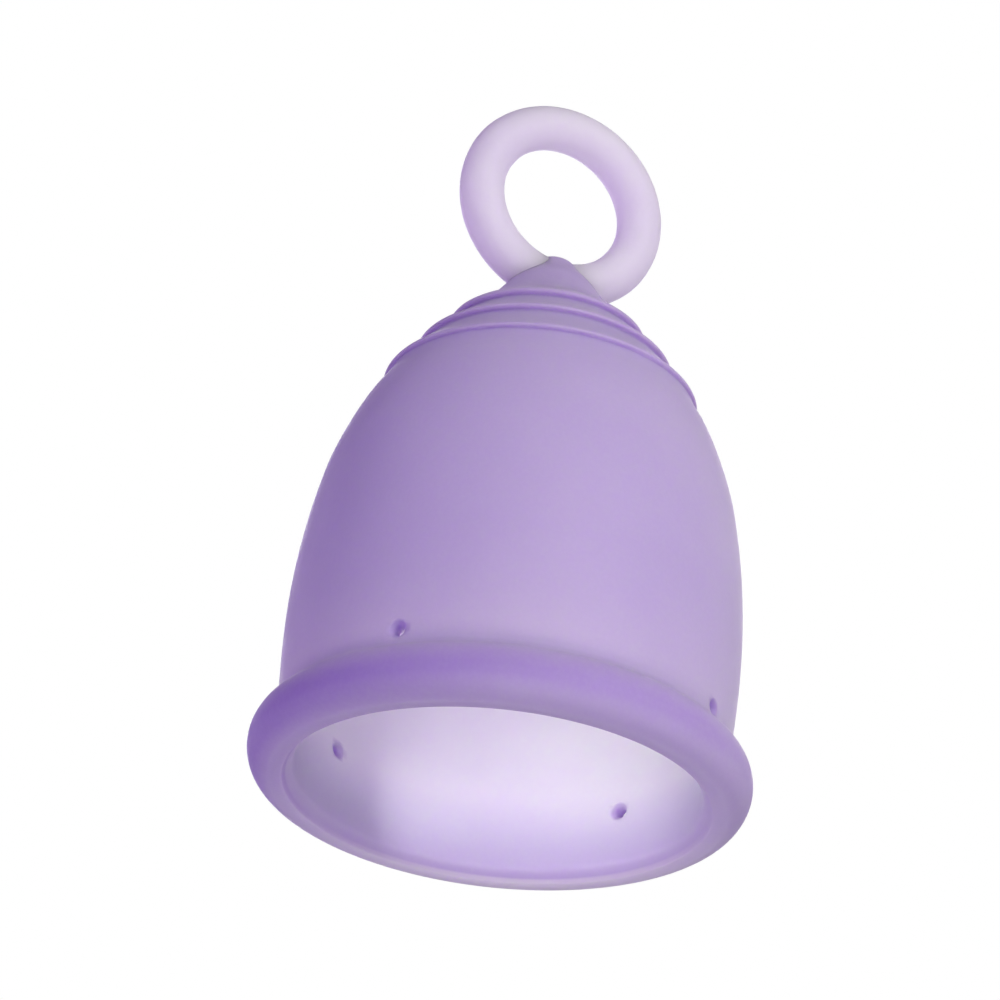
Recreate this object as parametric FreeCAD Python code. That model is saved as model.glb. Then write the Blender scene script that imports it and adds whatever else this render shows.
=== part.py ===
import FreeCAD, Part
import math
import os

# Soft cup with a ring handle.  Millimetres.
# Frame: origin at the centre of the mouth, on the plane the rim rests on.
# +Z runs along the cup's axis from the mouth up to the ring, so the cup stands
# mouth down with its ring up.  The ring lies in the XZ plane, and swings about X.
# Every outline is a list of (radius, height) points.

V = FreeCAD.Vector
ORIGIN = V(0, 0, 0)
X_AXIS = V(1, 0, 0)
Y_AXIS = V(0, 1, 0)
Z_AXIS = V(0, 0, 1)

# ---- joints between the pieces ----------------------------------------------
RIM_TOP_Z = 5.90                        # the rolled rim ends and the wall begins
GROOVE = (21.02, RIM_TOP_Z)             # bottom of the groove above the rolled rim
RIM_TOP_INNER = (19.22, RIM_TOP_Z)
BELL_TOP_Z = 40.30                      # the wall ends and the stepped base begins
BELL_TOP_OUTER = (15.60, BELL_TOP_Z)
BELL_TOP_INNER = (13.40, BELL_TOP_Z)
LUG_FOOT = (6.95, 50.45)                # edge of the lug where it stands on the last step
LUG_BASE_CENTRE = (0.0, LUG_FOOT[1])

# ---- rolled rim -------------------------------------------------------------
RIM_OUTER_R = 23.50                     # widest radius
RIM_HALF_DEPTH = 2.727                  # radial half axis of the elliptical section
RIM_HALF_HEIGHT = 2.935                 # axial half axis of the section
RIM_MID_R = RIM_OUTER_R - RIM_HALF_DEPTH
RIM_MID_Z = 2.872                       # height of the widest line
RIM_ARC_END = math.radians(80.0)        # ellipse angle where the roll turns into the groove
RIM_ARC_STEPS = 14
LAND_INNER = (20.05, 0.0)               # flat land the rim rests on
LAND_OUTER = (21.30, 0.0)

# inside of the rim: mouth edge, bevel, then the throat up to the wall
RIM_INSIDE = [LAND_INNER, (19.90, 0.14), (19.50, 0.58), (19.18, 0.98), (19.02, 1.45),
              (19.00, 2.40), (19.04, 3.60), (19.11, 4.80), RIM_TOP_INNER]

# ---- bell wall --------------------------------------------------------------
BELL_OUTSIDE = [GROOVE, (21.12, 6.70), (21.25, 8.97), (21.40, 13.56), (21.31, 18.14),
                (20.92, 22.73), (20.23, 27.31), (19.20, 31.90), (17.50, 36.48),
                (16.22, 39.10), BELL_TOP_OUTER]
BELL_INSIDE = [RIM_TOP_INNER, (19.52, 8.97), (19.70, 13.56), (19.61, 18.14), (19.22, 22.73),
               (18.52, 27.31), (17.46, 31.90), (15.66, 36.48), BELL_TOP_INNER]

# air holes through the wall just above the rolled rim: (angle from +X in degrees, height)
AIR_HOLES = [(-142.15, 7.55), (-50.0, 7.35), (30.1, 6.90), (120.1, 8.40)]
AIR_HOLE_D = 1.80
DRILL_START_R = 17.0                    # inside the hollow, clear of the wall
DRILL_LENGTH = 8.0

# ---- stepped base -----------------------------------------------------------
# Three soft shingle-like steps.  Each path runs from the notch under the step,
# round its tip and along its shoulder to the next notch.
LOWER_NOTCH = (11.98, 44.32)
UPPER_NOTCH = (9.34, 47.40)
STEPS = [
    [BELL_TOP_OUTER, (15.28, 40.90), (15.16, 41.30), (14.95, 41.72), (14.45, 42.20),
     (13.30, 43.02), (12.40, 43.80), LOWER_NOTCH],
    [LOWER_NOTCH, (12.22, 44.46), (12.42, 44.80), (12.30, 45.20), (11.75, 45.62),
     (10.62, 46.32), (9.75, 46.95), UPPER_NOTCH],
    [UPPER_NOTCH, (9.55, 47.52), (9.66, 47.86), (9.48, 48.26), (8.98, 48.68),
     (8.05, 49.38), (7.35, 49.98), LUG_FOOT],
]
CAVITY_CROWN = (0.0, 46.20)             # top of the hollow inside
CAVITY = [BELL_TOP_INNER, (11.90, 42.15), (9.80, 43.85), (7.00, 45.25), (3.60, 46.00),
          CAVITY_CROWN]
CAVITY_START_TANGENT = (-0.55, 0.62)

# ---- lug: rounded cone with a cross bore the ring runs through --------------
LUG_TOP = (0.0, 57.50)
LUG_OUTSIDE = [LUG_FOOT, (6.15, 51.20), (5.38, 52.20), (4.82, 53.00), (4.25, 53.80),
               (3.62, 54.60), (2.98, 55.40), (2.38, 56.20), (1.55, 56.98), LUG_TOP]
LUG_START_TANGENT = (-0.74, 0.70)
LEVEL_INWARD = (-1, 0)                  # tangent of a smooth crown at the axis

# ---- ring handle and the bore it turns in -----------------------------------
RING_MID_R = 8.467
RING_TUBE_R = 2.171
RING_INNER_R = RING_MID_R - RING_TUBE_R
RING_AXIS_Z = 63.065
HINGE_Z = RING_AXIS_Z - RING_MID_R      # centre of the tube inside the lug

BORE_CLEARANCE = 0.06
BORE_INTERVALS = 24                     # spacing of the points along the bore's outline
FLARE_R = 2.95                          # the lower bore stops widening here
FLARE_END_LENGTH = 4.2                  # straight bore beyond each end of the flare
FLARE_OVERLAP = 0.05                    # how far the straight ends enter the flare
UPPER_REACH = 4.6                       # half length of the upper bore
HALF_SPACE = 30                         # box that keeps only what is above the hinge


# ---- helpers ----------------------------------------------------------------
def in_xz(point):
    return V(point[0], 0, point[1])


def spline(points, tangents=None):
    """A smooth curve in the XZ plane, with optional (start, end) tangents."""
    curve = Part.BSplineCurve()
    vectors = [in_xz(point) for point in points]
    if tangents:
        start, end = tangents
        curve.interpolate(Points=vectors, InitialTangent=in_xz(start), FinalTangent=in_xz(end))
    else:
        curve.interpolate(vectors)
    return curve.toShape()


def line(start, end):
    return Part.makeLine(in_xz(start), in_xz(end))


def revolved(edges, axis):
    """A closed section turned a full circle about an axis through the origin."""
    face = Part.Face(Part.Wire(Part.__sortEdges__(edges)))
    return face.revolve(ORIGIN, axis, 360).Solids[0]


def turned(edges):
    """A solid turned about the cup's axis, with its faces pointing outwards."""
    solid = revolved(edges, Z_AXIS)
    if solid.Volume < 0:
        solid.reverse()
    return solid


# ---- pieces -----------------------------------------------------------------
def rim_bead():
    """Rolled rim: part of an ellipse outside, the mouth's bevel and throat inside."""
    arc_start = -math.acos((LAND_OUTER[0] - RIM_MID_R) / RIM_HALF_DEPTH)
    outside = [LAND_OUTER]
    for i in range(1, RIM_ARC_STEPS + 1):
        angle = arc_start + (RIM_ARC_END - arc_start) * i / RIM_ARC_STEPS
        outside.append((RIM_MID_R + RIM_HALF_DEPTH * math.cos(angle),
                        RIM_MID_Z + RIM_HALF_HEIGHT * math.sin(angle)))
    outside.append(GROOVE)
    return turned([spline(outside), spline(RIM_INSIDE),
                   line(LAND_INNER, LAND_OUTER),
                   line(RIM_TOP_INNER, GROOVE)])


def bell_wall():
    """Bell-shaped wall with its air holes."""
    wall = turned([spline(BELL_OUTSIDE), spline(BELL_INSIDE),
                   line(RIM_TOP_INNER, GROOVE),
                   line(BELL_TOP_INNER, BELL_TOP_OUTER)])
    for degrees, height in AIR_HOLES:
        angle = math.radians(degrees)
        outward = V(math.cos(angle), math.sin(angle), 0)
        start = outward * DRILL_START_R + V(0, 0, height)
        wall = wall.cut(Part.makeCylinder(AIR_HOLE_D / 2, DRILL_LENGTH, start, outward))
    return wall.Solids[0]


def grip_base():
    """Stepped base over the crown of the hollow."""
    edges = [spline(path) for path in STEPS]
    edges += [spline(CAVITY, (CAVITY_START_TANGENT, LEVEL_INWARD)),
              line(BELL_TOP_INNER, BELL_TOP_OUTER),
              line(CAVITY_CROWN, LUG_BASE_CENTRE),
              line(LUG_BASE_CENTRE, LUG_FOOT)]
    return turned(edges)


def bore(reach, end_radius=None):
    """A bore along X, from -reach to reach, that follows the ring's inner edge.

    It flares towards its ends so that the curved tube can turn in it.
    With an end_radius, straight cylinders of that radius carry it on at both ends.
    """
    outline = []
    for i in range(BORE_INTERVALS + 1):
        x = -reach + 2.0 * reach * i / BORE_INTERVALS
        radius = RING_MID_R + BORE_CLEARANCE - math.sqrt(RING_INNER_R ** 2 - x * x)
        outline.append((x, radius))
    mouth_r = outline[0][1]
    solid = revolved([spline(outline),
                      line((-reach, mouth_r), (-reach, 0)),
                      line((-reach, 0), (reach, 0)),
                      line((reach, 0), (reach, mouth_r))], X_AXIS)
    if end_radius:
        for side in (-1, 1):
            start = V(side * (reach - FLARE_OVERLAP), 0, 0)
            end = Part.makeCylinder(end_radius, FLARE_END_LENGTH, start, V(side, 0, 0))
            solid = solid.fuse(end)
    solid.translate(V(0, 0, HINGE_Z))
    return solid


def eye():
    """Room the ring's tube takes as it swings about X, with its running clearance."""
    # half length at which the flare has grown to FLARE_R
    lower_reach = math.sqrt(RING_INNER_R ** 2 - (RING_MID_R + BORE_CLEARANCE - FLARE_R) ** 2)
    lower = bore(lower_reach, FLARE_R)
    upper = bore(UPPER_REACH)
    above_hinge = Part.makeBox(HALF_SPACE, HALF_SPACE, HALF_SPACE,
                               V(-HALF_SPACE / 2, -HALF_SPACE / 2, HINGE_Z))
    return lower.fuse(upper.common(above_hinge))


def ring_lug():
    """Lug with the ring's eye cut through it."""
    cone = turned([spline(LUG_OUTSIDE, (LUG_START_TANGENT, LEVEL_INWARD)),
                   line(LUG_BASE_CENTRE, LUG_FOOT),
                   line(LUG_BASE_CENTRE, LUG_TOP)])
    # the largest solid is the lug; any loose sliver left by the cut is dropped
    return max(cone.cut(eye()).Solids, key=lambda solid: solid.Volume)


def ring_handle():
    return Part.makeTorus(RING_MID_R, RING_TUBE_R, V(0, 0, RING_AXIS_Z), Y_AXIS)


os.makedirs("parts", exist_ok=True)
for build in (rim_bead, bell_wall, grip_base, ring_lug, ring_handle):
    build().exportStep("parts/" + build.__name__ + ".step")
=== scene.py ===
# A soft bell-shaped cup standing mouth down, its rim on z = 0 and its axis on +Z. The wall has
# four air holes just above the rim, and steps up to a lug that holds an upright ring in the
# XZ plane. Lengths are in millimetres unless a name or comment says metres.
import bpy
import bmesh
import math
from mathutils import Matrix, Vector


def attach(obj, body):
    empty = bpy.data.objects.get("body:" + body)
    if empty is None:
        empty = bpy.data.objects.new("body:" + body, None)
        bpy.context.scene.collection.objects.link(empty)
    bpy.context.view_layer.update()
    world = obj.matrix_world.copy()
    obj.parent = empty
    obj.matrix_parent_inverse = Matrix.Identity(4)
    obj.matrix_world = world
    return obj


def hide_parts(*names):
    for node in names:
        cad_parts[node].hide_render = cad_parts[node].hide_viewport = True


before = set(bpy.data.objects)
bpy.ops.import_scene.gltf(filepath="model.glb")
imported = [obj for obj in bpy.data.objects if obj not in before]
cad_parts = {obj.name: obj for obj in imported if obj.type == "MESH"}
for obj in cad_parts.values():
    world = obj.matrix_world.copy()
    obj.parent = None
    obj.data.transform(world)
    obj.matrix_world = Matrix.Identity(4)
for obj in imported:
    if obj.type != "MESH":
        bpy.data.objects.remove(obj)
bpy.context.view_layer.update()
MM = 0.001

# ------------------------------------------------------------------ sizes
RIM_OUTER_R, RIM_HALF_DEPTH, RIM_HALF_HEIGHT, RIM_MID_Z = 23.50, 2.727, 2.935, 2.872
LAND_IN, LAND_OUT = 20.05, 21.30                # radii of the flat the cup stands on
RING_MID_R, RING_TUBE_R, RING_Z = 8.467, 2.171, 63.065
PARTING_HEIGHT, PARTING_WIDTH = 0.030, 0.10     # raised line round the ring
HOLES = ((-142.15, 7.50), (-49.9, 7.10), (30.1, 6.75), (120.1, 8.35))  # (degrees from +X, height)
HOLE_WALL_IN, HOLE_WALL_OUT = 19.37, 21.18      # wall radii at the air holes
FINE_BELOW_Z = 9.5                              # the wall is sampled more finely below this

CUP_SEGMENTS = 190
HOLE_SEGMENTS = 48
BEAD_SEGMENTS = 26
RING_SEGMENTS, TUBE_SEGMENTS = 200, 56

# ------------------------------------------------------------------ cup section, (radius, height)
LUG = [
    (0.0, 56.98), (0.70, 56.95), (1.30, 56.80), (1.80, 56.50), (2.16, 56.12), (2.56, 55.64),
    (3.00, 55.12), (3.58, 54.52), (4.22, 53.80), (4.80, 53.00), (5.40, 52.20), (6.12, 51.26),
    (6.92, 50.46)]
# three flared steps, each with a rounded lip and a groove under it
STEPS = [
    (7.36, 50.16), (8.05, 49.72), (8.70, 49.32), (9.16, 49.00), (9.42, 48.76), (9.50, 48.56),
    (9.43, 48.40), (9.24, 48.30), (9.16, 48.20), (9.20, 48.06), (9.38, 47.84),
    (9.72, 47.50), (10.60, 46.78), (11.42, 46.14), (11.92, 45.82), (12.20, 45.60), (12.30, 45.40),
    (12.24, 45.24), (12.04, 45.15), (11.95, 45.04), (11.99, 44.88), (12.18, 44.62),
    (12.52, 44.28), (13.38, 43.46), (14.18, 42.74), (14.68, 42.30), (14.97, 42.02), (15.08, 41.82),
    (15.05, 41.67), (14.91, 41.58), (14.85, 41.48), (14.89, 41.33), (15.04, 41.02)]
OUTER_WALL = [
    (15.62, 39.96), (16.28, 38.94), (17.49, 36.48), (19.20, 31.90), (20.23, 27.31),
    (20.92, 22.73), (21.31, 18.14), (21.40, 13.56), (21.25, 8.97), (21.18, 7.70), (21.16, 6.95),
    (21.26, 6.32)]
RIM_FILLET = (21.56, 5.84)                      # between the wall and the rim bead
HOLLOW = [
    (LAND_IN, 0.0), (19.96, 0.05), (19.86, 0.16), (19.60, 0.46), (19.32, 0.80), (19.14, 1.08),
    (19.05, 1.40), (19.01, 1.90), (19.01, 2.70), (19.05, 3.80), (19.12, 4.90), (19.22, 6.00),
    (19.36, 7.30), (19.52, 8.97), (19.70, 13.56), (19.61, 18.14), (19.22, 22.73), (18.52, 27.31),
    (17.46, 31.90), (15.66, 36.48), (13.40, 40.30), (11.90, 42.15), (9.80, 43.85), (7.00, 45.25),
    (3.60, 46.00), (1.2, 46.18), (0.0, 46.20)]

# air hole drill, (distance from the wall face, drill radius), going outwards along its axis
DRILL_INNER_END = [(-2.2, 1.25), (-0.30, 1.10), (-0.04, 0.92), (0.08, 0.78), (0.22, 0.64),
                   (0.42, 0.52), (0.65, 0.45)]
DRILL_OUTER_END = [(-0.70, 0.45), (-0.44, 0.52), (-0.24, 0.64), (-0.10, 0.78), (0.02, 0.92),
                   (0.28, 1.10), (2.2, 1.30)]


# ------------------------------------------------------------------ helpers
def between(at, knots, low, high, start, end):
    """Point at parameter `at` on the line from start (knot `low`) to end (knot `high`)."""
    span = knots[high] - knots[low]
    return start * ((knots[high] - at) / span) + end * ((at - knots[low]) / span)


def resample(points, step_at):
    """Centripetal Catmull-Rom through 2-D points, resampled at about `step_at(height)`."""
    points = [Vector(point) for point in points]
    padded = [points[0] * 2 - points[1]] + points + [points[-1] * 2 - points[-2]]
    curve = [points[0]]
    for before, start, end, after in zip(padded, padded[1:], padded[2:], padded[3:]):
        knots = [0.0]
        for side in (start - before, end - start, after - end):
            knots.append(knots[-1] + max(side.length, 1e-6) ** 0.5)
        count = max(1, math.ceil((end - start).length / step_at(start.y)))
        for k in range(1, count + 1):
            at = knots[1] + (knots[2] - knots[1]) * k / count
            first = between(at, knots, 0, 1, before, start)
            middle = between(at, knots, 1, 2, start, end)
            last = between(at, knots, 2, 3, end, after)
            first = between(at, knots, 0, 2, first, middle)
            last = between(at, knots, 1, 3, middle, last)
            curve.append(between(at, knots, 1, 2, first, last))
    return [(point.x, point.y) for point in curve]


def lookup(table, x):
    """Straight-line interpolation in an (x, value) table, held level past its ends."""
    if x <= table[0][0]:
        return table[0][1]
    for (x0, value0), (x1, value1) in zip(table, table[1:]):
        if x <= x1:
            return value0 + (value1 - value0) * ((x - x0) / (x1 - x0))
    return table[-1][1]


def link_object(name, data):
    made = bpy.data.objects.new(name, data)
    bpy.context.scene.collection.objects.link(made)
    return made


def object_from(bm, name):
    """Turn a finished bmesh into an object with its faces pointing outwards."""
    bmesh.ops.recalc_face_normals(bm, faces=bm.faces)
    mesh = bpy.data.meshes.new(name)
    bm.to_mesh(mesh)
    bm.free()
    return link_object(name, mesh)


def shade_smooth(mesh):
    for polygon in mesh.polygons:
        polygon.use_smooth = True


def turns(count):
    """Angles of `count` equal steps round a circle."""
    return [2 * math.pi * k / count for k in range(count)]


# ------------------------------------------------------------------ cup
def outer_section():
    """From the crown of the lug down the outside to the flat land."""
    centre = RIM_OUTER_R - RIM_HALF_DEPTH
    top = math.radians(57)
    bottom = -math.acos((LAND_OUT - centre) / RIM_HALF_DEPTH)
    bead = []
    for i in range(BEAD_SEGMENTS + 1):
        angle = top + (bottom - top) * i / BEAD_SEGMENTS
        bead.append((centre + RIM_HALF_DEPTH * math.cos(angle),
                     RIM_MID_Z + RIM_HALF_HEIGHT * math.sin(angle)))
    bead[-1] = (LAND_OUT, 0.0)
    section = resample(LUG + STEPS, lambda z: 0.20 if z > 50.3 else 0.10)
    section += resample([STEPS[-1]] + OUTER_WALL,
                        lambda z: 0.50 if z > FINE_BELOW_Z else 0.26)[1:]
    section += resample([OUTER_WALL[-1], RIM_FILLET] + bead, lambda z: 0.24)[1:]
    return section


def inner_section():
    """From the land up the inside to the crown of the hollow."""
    return resample(HOLLOW, lambda z: 0.50 if z > FINE_BELOW_Z else 0.28)


def lathe(name, section, segments):
    """Closed body of revolution; the section starts and ends on the axis."""
    bm = bmesh.new()
    first = bm.verts.new((0, 0, section[0][1] * MM))
    last = bm.verts.new((0, 0, section[-1][1] * MM))
    rings = [[bm.verts.new((r * MM * math.cos(turn), r * MM * math.sin(turn), z * MM))
              for turn in turns(segments)] for r, z in section[1:-1]]
    for k in range(segments):
        j = (k + 1) % segments
        bm.faces.new((first, rings[0][k], rings[0][j]))
        bm.faces.new((last, rings[-1][j], rings[-1][k]))
        for upper, lower in zip(rings, rings[1:]):
            bm.faces.new((upper[k], lower[k], lower[j], upper[j]))
    return object_from(bm, name)


def vent_cutter(degrees, height):
    """Drill for one air hole with softly flared ends, along the radius."""
    stations = [(HOLE_WALL_IN + offset, r) for offset, r in DRILL_INNER_END]
    stations += [(HOLE_WALL_OUT + offset, r) for offset, r in DRILL_OUTER_END]
    angle = math.radians(degrees)
    outward = Vector((math.cos(angle), math.sin(angle), 0))
    sideways = Vector((-math.sin(angle), math.cos(angle), 0))
    up = Vector((0, 0, 1))
    bm = bmesh.new()
    rings = [[bm.verts.new((outward * distance
                            + (sideways * math.cos(turn) + up * math.sin(turn)) * r
                            + up * height) * MM)
              for turn in turns(HOLE_SEGMENTS)] for distance, r in stations]
    for near, far in zip(rings, rings[1:]):
        for k in range(HOLE_SEGMENTS):
            j = (k + 1) % HOLE_SEGMENTS
            bm.faces.new((near[k], far[k], far[j], near[j]))
    bm.faces.new(rings[0])
    bm.faces.new(list(reversed(rings[-1])))
    return object_from(bm, "vent_cutter")


def merge_slivers(mesh, low_z=0.005, high_z=0.0105, min_radius=0.0190, distance=6e-6):
    """Merge the slivers left along the cut edges of the air holes; sizes in metres."""
    bm = bmesh.new()
    bm.from_mesh(mesh)
    near = [v for v in bm.verts
            if low_z < v.co.z < high_z and math.hypot(v.co.x, v.co.y) > min_radius]
    bmesh.ops.remove_doubles(bm, verts=near, dist=distance)
    bm.to_mesh(mesh)
    bm.free()


def make_cup():
    cup = lathe("cup_moulding", outer_section() + inner_section(), CUP_SEGMENTS)
    cutters = [vent_cutter(*hole) for hole in HOLES]
    for cutter in cutters:
        cut = cup.modifiers.new("vent", "BOOLEAN")
        cut.operation = "DIFFERENCE"
        cut.solver = "EXACT"
        cut.object = cutter
    depsgraph = bpy.context.evaluated_depsgraph_get()
    drilled = bpy.data.meshes.new_from_object(cup.evaluated_get(depsgraph))
    cup.modifiers.clear()
    merge_slivers(drilled)
    undrilled = cup.data
    cup.data = drilled
    cup.data.name = "cup_moulding"
    bpy.data.meshes.remove(undrilled)
    for cutter in cutters:
        mesh = cutter.data
        bpy.data.objects.remove(cutter)
        bpy.data.meshes.remove(mesh)
    shade_smooth(cup.data)
    return cup


# ------------------------------------------------------------------ ring
def make_ring():
    bm = bmesh.new()
    rings = []
    for around in turns(RING_SEGMENTS):
        row = []
        for turn in turns(TUBE_SEGMENTS):
            # faint parting line of the mould, in the ring's own plane
            off_plane = abs(math.sin(turn)) * RING_TUBE_R
            tube = RING_TUBE_R + PARTING_HEIGHT * math.exp(-(off_plane / PARTING_WIDTH) ** 2)
            reach = RING_MID_R + tube * math.cos(turn)
            row.append(bm.verts.new((reach * math.cos(around) * MM, tube * math.sin(turn) * MM,
                                     (RING_Z + reach * math.sin(around)) * MM)))
        rings.append(row)
    for row, following in zip(rings, rings[1:] + rings[:1]):
        for k in range(TUBE_SEGMENTS):
            j = (k + 1) % TUBE_SEGMENTS
            bm.faces.new((row[k], row[j], following[j], following[k]))
    ring = object_from(bm, "ring_pull")
    shade_smooth(ring.data)
    return ring


# ------------------------------------------------------------------ cup attributes
# The camera's level directions as (x, y): away from it, and to its right.
AWAY_XY = (0.3769, 0.9262)
RIGHT_XY = (0.9064, -0.4225)

# (height, radius of the hollow's wall)
INNER_WALL = [
    (0.0, 20.0), (0.2, 19.9), (1.2, 19.1), (2.5, 19.0), (6.0, 19.25), (9.0, 19.53), (13.6, 19.7),
    (18.1, 19.62), (22.7, 19.24), (27.3, 18.54), (31.9, 17.48), (36.5, 15.7), (40.3, 13.44),
    (42.15, 11.94), (43.85, 9.85), (45.25, 7.05), (46.0, 3.7), (46.25, 0.0), (60.0, 0.0)]
INNER_WALL_MARGIN = 0.35
HOLLOW_TOP_Z = 46.6

# (height, value of `inside` on the hollow's wall); `inside` brings in the hollow's pale painted
# light and its higher shine
INSIDE = [(0.3, 0.0), (1.2, 0.35), (5.0, 0.80), (8.0, 1.0)]
# (height, value of `thick_and_painted_light`) for the outside and for the hollow
# on the outside this holds painted light and shade as well as the rubber's depth: the mouth edge
# kept pale against the shade there, a soft painted shade over the wall down into the bead, and a
# pale band of painted light on the thin wall above the rim
OUTSIDE_THICK_AND_PAINTED_LIGHT = [
    (0.0, 0.18), (0.9, 0.22), (1.5, 0.45), (2.2, 0.76), (3.0, 0.86), (4.0, 0.74), (5.0, 0.56),
    (5.6, 0.38), (6.1, 0.16), (6.7, -0.04), (7.4, -0.28), (8.2, -0.36), (10.0, -0.26),
    (13.0, -0.12), (18.0, 0.0), (34.0, 0.0), (39.0, 0.08), (42.0, 0.20), (45.0, 0.24),
    (49.0, 0.30), (52.0, 0.38), (57.0, 0.38)]
THICK_HOLLOW = [(0.3, 0.20), (0.9, 0.20), (1.3, 0.30), (3.0, 0.25), (6.0, 0.12), (9.0, 0.0),
                (36.0, 0.0), (46.0, 0.2)]
# (height, strength) of the changes to `thick_and_painted_light` towards the far, left and right
# sides: painted light under the far rim, painted shade on the camera's left, painted light on its
# right
FAR_PALING = [(0.0, 1.0), (1.2, 0.9), (2.4, 0.0)]
FAR_PALING_STRENGTH = 1.15
LEFT_PAINTED_SHADE = [(0.0, 0.45), (0.8, 0.90), (2.5, 0.66), (4.0, 0.12), (5.5, 0.0), (8.0, 0.0),
                  (14.0, 0.18), (30.0, 0.26), (50.0, 0.0)]
RIGHT_PAINTED_LIGHT = [(0.3, 0.0), (1.4, 0.25), (5.0, 0.25), (8.0, 0.0)]
# the grooves under the steps, (radius, height), and (distance from one, painted shade added to
# `thick_and_painted_light`)
GROOVES = [(9.40, 48.36), (12.20, 45.20), (15.02, 41.64)]
GROOVE_PAINTED_SHADE = [(0.0, 0.38), (0.22, 0.30), (0.50, 0.0)]
# (distance from an air hole's axis, hold of the painted shade in the hole)
HOLE_HOLD = [(0.0, 1.0), (0.80, 1.0), (1.05, 0.0)]
HOLE_MID_R = 20.4                               # parts a hole's inner and outer halves
# painted shade in the bores of the air holes: the outer half deeper in colour, and the inner half
# losing most of the hollow's pale painted light
HOLE_PAINTED_SHADE_OUTER, HOLE_THICK_INNER = 0.62, 0.10
HOLE_SHADE_INSIDE_LOSS = 0.75


# the outside's value: the rubber's depth with painted light and painted shade added
def outside_thick_and_painted_light(x, y, z, radius):
    thick_and_painted_light = lookup(OUTSIDE_THICK_AND_PAINTED_LIGHT, z)
    if radius > 1.0:
        # light comes through the far side of the rim, so its underside is paler
        away = (x * AWAY_XY[0] + y * AWAY_XY[1]) / radius
        thick_and_painted_light -= FAR_PALING_STRENGTH * max(0.0, away) * lookup(FAR_PALING, z)
        # painted shade on the camera's left side of the cup and painted light on its right, as if
        # lit from the right
        right = (x * RIGHT_XY[0] + y * RIGHT_XY[1]) / radius
        thick_and_painted_light -= right * lookup(LEFT_PAINTED_SHADE if right < 0.0 else RIGHT_PAINTED_LIGHT, z)
    # painted shade in the grooves under the steps
    for groove_r, groove_z in GROOVES:
        thick_and_painted_light += lookup(GROOVE_PAINTED_SHADE, math.hypot(radius - groove_r, z - groove_z))
    return thick_and_painted_light


def add_attributes(mesh):
    """thick: about 0 thin wall .. 1 solid, plus painted shade in the grooves, the air holes and on
    the camera's left, and painted light on its right, under the far rim and above the rim; inside:
    1 on the walls of the hollow.
    """
    thick_and_painted_light_data = mesh.attributes.new("thick_and_painted_light", "FLOAT", "POINT")
    inside_data = mesh.attributes.new("inside", "FLOAT", "POINT")
    for i, vertex in enumerate(mesh.vertices):
        x, y, z = (value / MM for value in vertex.co)
        radius = math.hypot(x, y)
        inside = 0.0
        if z < HOLLOW_TOP_Z and radius < lookup(INNER_WALL, z) + INNER_WALL_MARGIN:
            inside = lookup(INSIDE, z)
        if inside > 0.0:
            thick_and_painted_light = lookup(THICK_HOLLOW, z)
        else:
            thick_and_painted_light = outside_thick_and_painted_light(x, y, z, radius)
        # painted shade in the bores of the air holes
        for degrees, height in HOLES:
            angle = math.radians(degrees)
            across = math.hypot(y * math.cos(angle) - x * math.sin(angle), z - height)
            along = x * math.cos(angle) + y * math.sin(angle)
            if across < HOLE_HOLD[-1][0] and along > 10.0:
                hold = lookup(HOLE_HOLD, across)
                target = HOLE_PAINTED_SHADE_OUTER if along > HOLE_MID_R else HOLE_THICK_INNER
                thick_and_painted_light += (target - thick_and_painted_light) * hold
                inside *= 1.0 - HOLE_SHADE_INSIDE_LOSS * hold
        thick_and_painted_light_data.data[i].value = thick_and_painted_light
        inside_data.data[i].value = inside


# ------------------------------------------------------------------ materials
class Nodes:
    """Short ways to add shader nodes to one material or world."""

    def __init__(self, owner, located=True):
        owner.use_nodes = True
        self.tree = owner.node_tree
        self.tree.nodes.clear()
        if located:
            self.place = self.add("ShaderNodeTexCoord").outputs["Object"]

    def add(self, kind, inputs=None, **settings):
        """Add a node; an input is a value, a socket, or a node whose first output is used."""
        node = self.tree.nodes.new(kind)
        for key, value in settings.items():
            setattr(node, key, value)
        for key, value in (inputs or {}).items():
            if isinstance(value, bpy.types.Node):
                value = value.outputs[0]
            if isinstance(value, bpy.types.NodeSocket):
                self.tree.links.new(value, node.inputs[key])
            else:
                node.inputs[key].default_value = value
        return node

    def noise(self, scale, detail, roughness=0.5):
        return self.add("ShaderNodeTexNoise", {
            "Vector": self.place, "Scale": scale, "Detail": detail, "Roughness": roughness,
            "Distortion": 0.0}).outputs["Fac"]

    def remap(self, source, from_min, from_max, to_min, to_max):
        inputs = dict(enumerate((source, from_min, from_max, to_min, to_max)))
        return self.add("ShaderNodeMapRange", inputs).outputs[0]

    def mix(self, factor, start, end, clamp=False):
        # 0, 6 and 7 are the factor and the two colours; output 2 is the colour
        return self.add("ShaderNodeMix", {0: factor, 6: start, 7: end},
                        data_type="RGBA", clamp_factor=clamp).outputs[2]

    def attribute(self, name):
        return self.add("ShaderNodeAttribute", attribute_name=name).outputs["Fac"]


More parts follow.
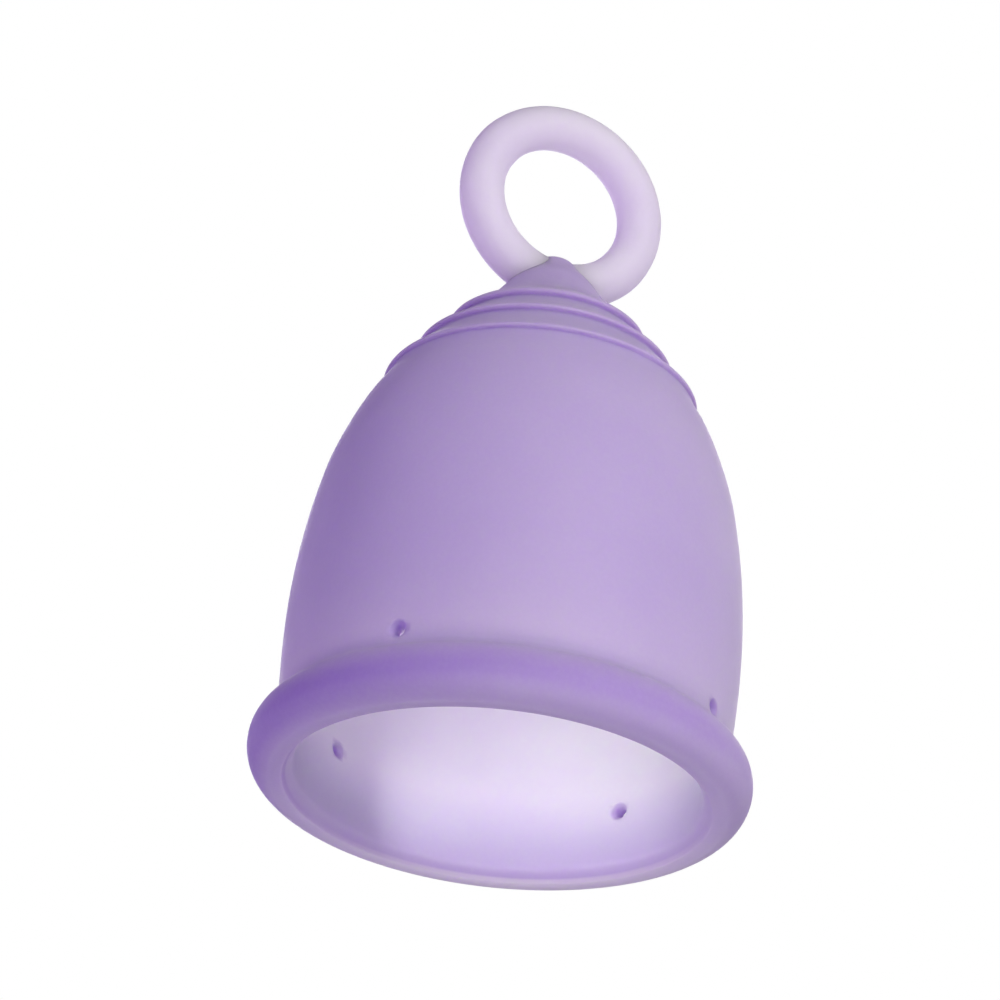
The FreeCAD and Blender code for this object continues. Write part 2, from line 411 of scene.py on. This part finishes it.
def elastomer(nodes, colour, scatter_radius, scatter_scale, inside=None):
    """Frosted translucent rubber; `inside` marks where the surface is polished."""
    # pale bloom of fine dust and frosting
    bloom = nodes.remap(nodes.noise(scale=2600, detail=3, roughness=0.6),
                        from_min=0.40, from_max=0.80, to_min=0.0, to_max=0.045)
    colour = nodes.mix(bloom, colour, (0.86, 0.82, 0.93, 1.0))
    roughness = nodes.remap(nodes.noise(scale=240, detail=5, roughness=0.6),
                            from_min=0.3, from_max=0.7, to_min=0.40, to_max=0.56)
    specular = 0.12
    if inside is not None:
        # the walls of the hollow come off a polished core, so they shine more
        specular = nodes.remap(inside, from_min=0.0, from_max=1.0, to_min=specular, to_max=0.50)
    # frosting of the spark-eroded mould, over a very slight waviness; distances in metres
    frosting = nodes.add("ShaderNodeBump", {
        "Strength": 0.10, "Distance": 0.00008,
        "Height": nodes.noise(scale=3600, detail=3, roughness=0.6)})
    waviness = nodes.add("ShaderNodeBump", {
        "Strength": 0.25, "Distance": 0.0004,
        "Height": nodes.noise(scale=120, detail=2), "Normal": frosting})
    surface = nodes.add("ShaderNodeBsdfPrincipled", {
        "Base Color": colour,
        "Roughness": roughness,
        "IOR": 1.45,
        "Specular IOR Level": specular,
        "Subsurface Weight": 1.0,
        "Subsurface Radius": scatter_radius,
        "Subsurface Scale": scatter_scale,
        "Subsurface Anisotropy": 0.3,
        "Sheen Weight": 0.015,
        "Sheen Roughness": 0.45,
        "Sheen Tint": (0.93, 0.90, 1.0, 1.0),
        "Normal": waviness,
    }, subsurface_method="RANDOM_WALK")
    nodes.add("ShaderNodeOutputMaterial", {0: surface})


def cup_material():
    thin_colour = (0.52, 0.425, 0.655, 1.0)
    solid_colour = (0.372, 0.256, 0.585, 1.0)
    hollow_painted_light_colour = (0.820, 0.794, 0.858, 1.0)
    material = bpy.data.materials.new("cup_elastomer")
    nodes = Nodes(material)
    thick_and_painted_light = nodes.attribute("thick_and_painted_light")
    inside = nodes.attribute("inside")
    # the mix is unclamped, so painted light below 0 comes out paler than the thin wall
    outer = nodes.mix(thick_and_painted_light, thin_colour, solid_colour)
    # the walls of the hollow take a pale colour, painted light for the glow inside the cup
    colour = nodes.mix(inside, outer, nodes.mix(thick_and_painted_light, hollow_painted_light_colour, solid_colour))
    # slow drift of pigment in the moulding
    drift = nodes.remap(nodes.noise(scale=55, detail=3, roughness=0.55),
                        from_min=0.3, from_max=0.7, to_min=0.0, to_max=0.16)
    colour = nodes.mix(drift, colour, solid_colour)
    elastomer(nodes, colour, scatter_radius=(1.0, 0.80, 1.15), scatter_scale=0.0032,
              inside=inside)
    return material


def ring_material():
    material = bpy.data.materials.new("ring_elastomer")
    nodes = Nodes(material)
    drift = nodes.remap(nodes.noise(scale=90, detail=3),
                        from_min=0.35, from_max=0.65, to_min=0, to_max=1)
    colour = nodes.mix(drift, (0.71, 0.635, 0.79, 1.0), (0.67, 0.59, 0.765, 1.0))
    # painted shade along the ring's outline, where a longer light path through the tube deepens
    # the colour; it follows the view
    facing = nodes.add("ShaderNodeLayerWeight", {"Blend": 0.5}).outputs["Facing"]
    outline_shade = nodes.remap(facing, from_min=0.78, from_max=1.0, to_min=0.0, to_max=0.60)
    colour = nodes.mix(outline_shade, colour, (0.40, 0.32, 0.60, 1.0))
    elastomer(nodes, colour, scatter_radius=(1.0, 0.90, 1.10), scatter_scale=0.0090)
    return material


def floor_material():
    """Even and pale with a soft contact shadow, white far off, clear from below; in metres."""
    material = bpy.data.materials.new("floor_pale")
    nodes = Nodes(material)
    distance = nodes.add("ShaderNodeVectorMath", {0: nodes.place}, operation="LENGTH")
    far = nodes.remap(distance.outputs["Value"],
                      from_min=0.15, from_max=1.20, to_min=0.0, to_max=1.0)
    diffuse = nodes.add("ShaderNodeBsdfDiffuse", {
        "Color": nodes.mix(far, (0.12, 0.12, 0.12, 1), (0.0, 0.0, 0.0, 1), clamp=True)})
    contact = nodes.add("ShaderNodeAmbientOcclusion", {
        "Color": nodes.mix(far, (0.75, 0.75, 0.76, 1), (1.0, 1.0, 1.0, 1), clamp=True),
        "Distance": 0.030}, samples=8)
    glow = nodes.add("ShaderNodeEmission", {"Color": contact.outputs["Color"]})
    above = nodes.add("ShaderNodeAddShader", {0: diffuse, 1: glow})
    below = nodes.add("ShaderNodeBsdfTransparent")
    backfacing = nodes.add("ShaderNodeNewGeometry").outputs["Backfacing"]
    surface = nodes.add("ShaderNodeMixShader", {0: backfacing, 1: above, 2: below})
    nodes.add("ShaderNodeOutputMaterial", {0: surface})
    return material


# ------------------------------------------------------------------ pieces
cup = make_cup()
add_attributes(cup.data)
ring = make_ring()
cup.data.materials.append(cup_material())
ring.data.materials.append(ring_material())

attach(cup, "cup")
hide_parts("rim_bead", "bell_wall", "grip_base", "ring_lug")
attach(ring, "ring")
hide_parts("ring_handle")

# ------------------------------------------------------------------ floor, seen only from above
bpy.ops.mesh.primitive_plane_add(size=4.0, location=(0, 0, -0.00006))
floor = bpy.context.object
floor.name = "floor"
floor.data.materials.append(floor_material())
for ray in ("diffuse", "glossy", "transmission", "shadow", "volume_scatter"):
    setattr(floor, "visible_" + ray, False)

# ------------------------------------------------------------------ camera, looking up from below
CAMERA_PLACE = (-0.175682, -0.4245529, -0.198367)   # metres
# the columns are the camera's right, its up, and the way back towards it
CAMERA_AXES = ((0.90188919, -0.26987637, -0.33728717),
               (-0.42039226, -0.36882114, -0.82900019),
               (0.09932893, 0.88945922, -0.44608974))
lens = bpy.data.cameras.new("camera")
lens.lens = 195.0334
lens.sensor_width = 36.0
lens.sensor_fit = "HORIZONTAL"
lens.clip_start = 0.01
lens.clip_end = 20.0
camera = link_object("camera", lens)
camera.matrix_world = Matrix.Translation(Vector(CAMERA_PLACE)) @ Matrix(CAMERA_AXES).to_4x4()
bpy.context.scene.camera = camera

# ------------------------------------------------------------------ lights
# the camera's directions, to four places; the lights are placed by them
RIGHT, UP, NEAR = (Vector([round(row[k], 4) for row in CAMERA_AXES]) for k in range(3))
LEVEL_RIGHT = Vector((RIGHT.x, RIGHT.y, 0)).normalized()
LEVEL_AWAY = Vector((-NEAR.x, -NEAR.y, 0)).normalized()

# soft discs round the cup; lengths in metres, strengths (r, g, b) in units of STUDIO_POWER watts
STUDIO_AIM = Vector((0, 0, 0.030))
STUDIO_DISTANCE, STUDIO_DIAMETER, STUDIO_POWER = 0.55, 0.40, 3.0
STUDIO_LIGHTS = (
    # name, direction from the cup, strengths
    ("near", NEAR, (0.399, 0.395, 0.402)),
    ("near_right_up", NEAR + RIGHT + UP, (0.667, 0.663, 0.669)),
    ("near_low", NEAR - UP, (0.179, 0.174, 0.185)),
    ("left", -RIGHT, (0.210, 0.127, 0.330)),
    ("back", -NEAR, (0.432, 0.430, 0.430)),
    ("back_left", -NEAR - RIGHT, (0.148, 0.129, 0.166)),
    ("back_right", -NEAR + RIGHT, (0.145, 0.140, 0.146)),
    ("low", -UP - NEAR * 0.4, (0.249, 0.241, 0.261)),
    ("right_low", RIGHT - UP, (0.050, 0.033, 0.075)))

# three small soft discs at the mouth, shining into the hollow; strengths in MOUTH_POWER watts
MOUTH_POWER = 0.02
MOUTH_LIGHTS = (
    # name, place and aim as (right, away, up), diameter, spread in degrees, strengths
    ("hollow_left", (-11, 6, 3), (14, 14, 8), 8, 150, (0.065, 0.067, 0.063)),
    ("hollow_right", (7, -3, 1.5), (6, 17, 9), 12, 90, (0.0180, 0.0170, 0.0190)),
    ("hollow_up", (3, 0, 2), (3, 3, 30), 16, 110, (0.036, 0.038, 0.036)))


def disc_light(name, place, facing, diameter, spread, unit_power, strengths):
    """Disc area light; place and diameter in metres, spread in degrees."""
    top = max(strengths)
    data = bpy.data.lights.new(name, "AREA")
    data.shape = "DISK"
    data.size = diameter
    data.spread = math.radians(spread)
    data.energy = unit_power * top
    data.color = [strength / top for strength in strengths]
    light = link_object(name, data)
    light.location = place
    light.rotation_euler = facing.to_track_quat("-Z", "Y").to_euler()
    light.visible_camera = False


def from_level(right, away, up):
    """World point in metres from millimetres along the camera's level directions."""
    return (LEVEL_RIGHT * right + LEVEL_AWAY * away + Vector((0, 0, up))) * MM


for name, direction, strengths in STUDIO_LIGHTS:
    direction = direction.normalized()
    disc_light(name, STUDIO_AIM + direction * STUDIO_DISTANCE, -direction,
               diameter=STUDIO_DIAMETER, spread=180, unit_power=STUDIO_POWER,
               strengths=strengths)
for name, place, aim, diameter, spread, strengths in MOUTH_LIGHTS:
    place = from_level(*place)
    disc_light(name, place, from_level(*aim) - place, diameter=diameter * MM, spread=spread,
               unit_power=MOUTH_POWER, strengths=strengths)

# ------------------------------------------------------------------ world
# a faint violet fill for the pieces, plain white to the camera
world = bpy.data.worlds.new("world")
bpy.context.scene.world = world
sky = Nodes(world, located=False)
seen = sky.add("ShaderNodeLightPath").outputs["Is Camera Ray"]
fill = sky.add("ShaderNodeBackground", {"Color": (0.96, 0.92, 1.0, 1), "Strength": 0.099})
white = sky.add("ShaderNodeBackground", {"Color": (1, 1, 1, 1), "Strength": 1.0})
sky.add("ShaderNodeOutputWorld", {
    0: sky.add("ShaderNodeMixShader", {0: seen, 1: fill, 2: white})})

view = bpy.context.scene.view_settings
view.view_transform = "Standard"
view.look = "None"
view.exposure = 0.0
view.gamma = 1.0
